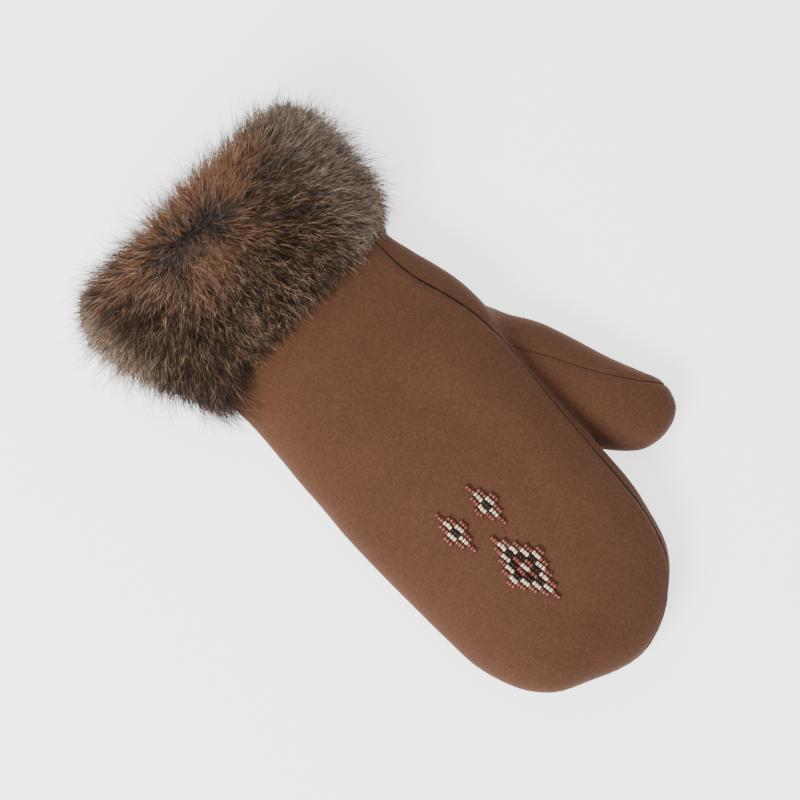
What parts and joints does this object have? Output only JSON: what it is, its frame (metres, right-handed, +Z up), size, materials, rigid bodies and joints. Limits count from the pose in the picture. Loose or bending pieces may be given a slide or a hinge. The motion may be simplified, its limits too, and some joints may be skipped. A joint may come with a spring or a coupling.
{
  "type": "fur mitten",
  "caption": "Right-hand suede mitten lying palm down, hollow for hand and thumb, with a deep fur cuff at the wrist.",
  "frame": {"origin": "on the floor plane, on the flat underside of the palm, below the middle of the hand", "axes": "+Z up, out of the back of the hand, +Y from the wrist towards the fingertips, the thumb at -X, the fur cuff at -Y"},
  "size_m": [0.1792, 0.3072, 0.0673],
  "materials": {
    "suede": "napped warm brown suede, matt, faintly mottled",
    "fur": "deep brown agouti fur with slate underwool, rust patches and pale tips",
    "bead_white": "opaque cream-white glass seed bead, glossy",
    "bead_rose": "rose copper glass seed bead, glossy",
    "bead_black": "opaque black glass seed bead, glossy",
    "thread": "dark brown sewing thread"
  },
  "bodies": {
    "root": {"back_panel": "suede", "heel_panel": "suede", "finger_panel": "suede", "fur_cuff": "fur"}
  },
  "joints": []
}
